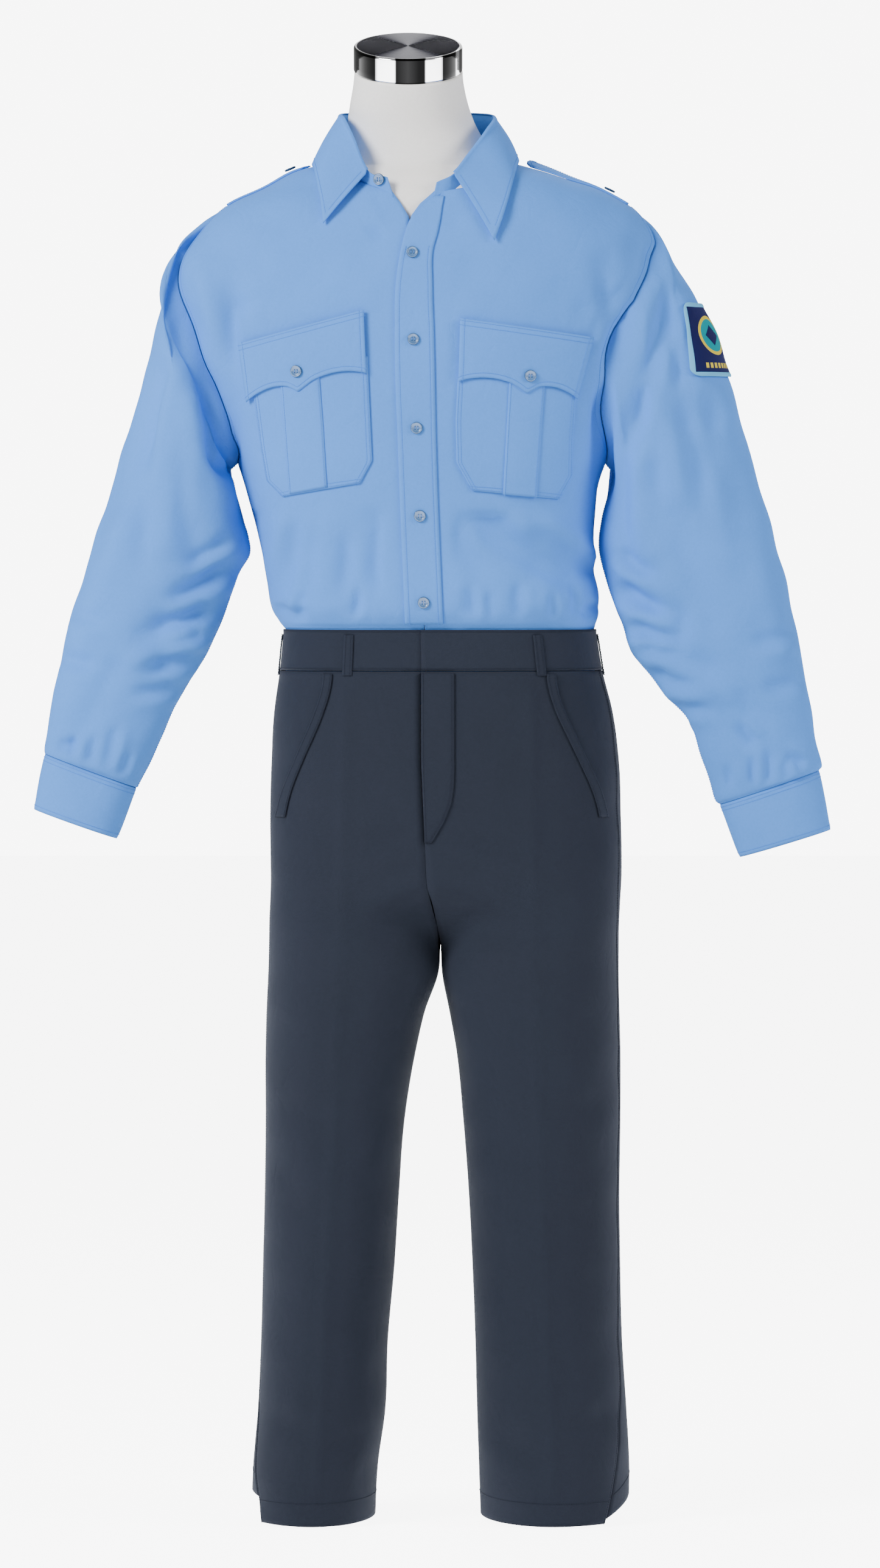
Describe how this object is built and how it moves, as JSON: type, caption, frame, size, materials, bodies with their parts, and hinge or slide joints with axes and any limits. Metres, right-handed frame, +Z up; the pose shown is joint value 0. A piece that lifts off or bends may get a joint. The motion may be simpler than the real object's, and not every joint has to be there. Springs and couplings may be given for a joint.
{
  "type": "security guard uniform on a limbless dress form",
  "caption": "Light blue long-sleeved uniform shirt tucked into dark navy trousers, worn by a limbless dress form on hidden slim legs.",
  "frame": {"origin": "on the floor, under the middle of the whole part's bounding box", "axes": "+Z up, the front faces -Y, the wearer's left arm is towards +X"},
  "size_m": [0.8635, 0.2642, 1.6199],
  "materials": {
    "shirt": "matte poplin",
    "trousers": "matte twill",
    "button": "pearly",
    "badge": "embroidered",
    "form": "matte jersey over a rigid shell",
    "chrome": "polished rim, brushed top",
    "stand": "satin"
  },
  "bodies": {
    "root": {"shirt_front_left": "shirt", "shirt_front_right": "shirt", "shirt_yoke": "shirt", "shirt_back": "shirt", "sleeve_left": "shirt", "sleeve_right": "shirt", "cuff_left": "shirt", "cuff_right": "shirt", "collar_stand": "shirt", "collar_fall": "shirt", "shirt_placket": "shirt", "pocket_left": "shirt", "pocket_right": "shirt", "pocket_pleat_left": "shirt", "pocket_pleat_right": "shirt", "pocket_flap_left": "shirt", "pocket_flap_right": "shirt", "epaulette_left": "shirt", "epaulette_right": "shirt", "button_front_1": "button", "button_front_2": "button", "button_front_3": "button", "button_front_4": "button", "button_front_5": "button", "button_pocket_left": "button", "button_pocket_right": "button", "button_collar": "button", "button_epaulette_left": "button", "button_epaulette_right": "button", "button_cuff_left": "button", "button_cuff_right": "button", "sleeve_badge": "badge", "trouser_front_left": "trousers", "trouser_front_right": "trousers", "trouser_back_left": "trousers", "trouser_back_right": "trousers", "waistband": "trousers", "trouser_fly": "trousers", "trouser_pocket_edge_left": "trousers", "trouser_pocket_edge_right": "trousers", "belt_loop_side_left": "trousers", "belt_loop_side_right": "trousers", "belt_loop_front_left": "trousers", "belt_loop_front_right": "trousers", "belt_loop_back_left": "trousers", "belt_loop_back_middle": "trousers", "belt_loop_back_right": "trousers", "form_body": "form", "neck_cap": "chrome", "stand_left": "stand", "stand_right": "stand"}
  },
  "joints": []
}
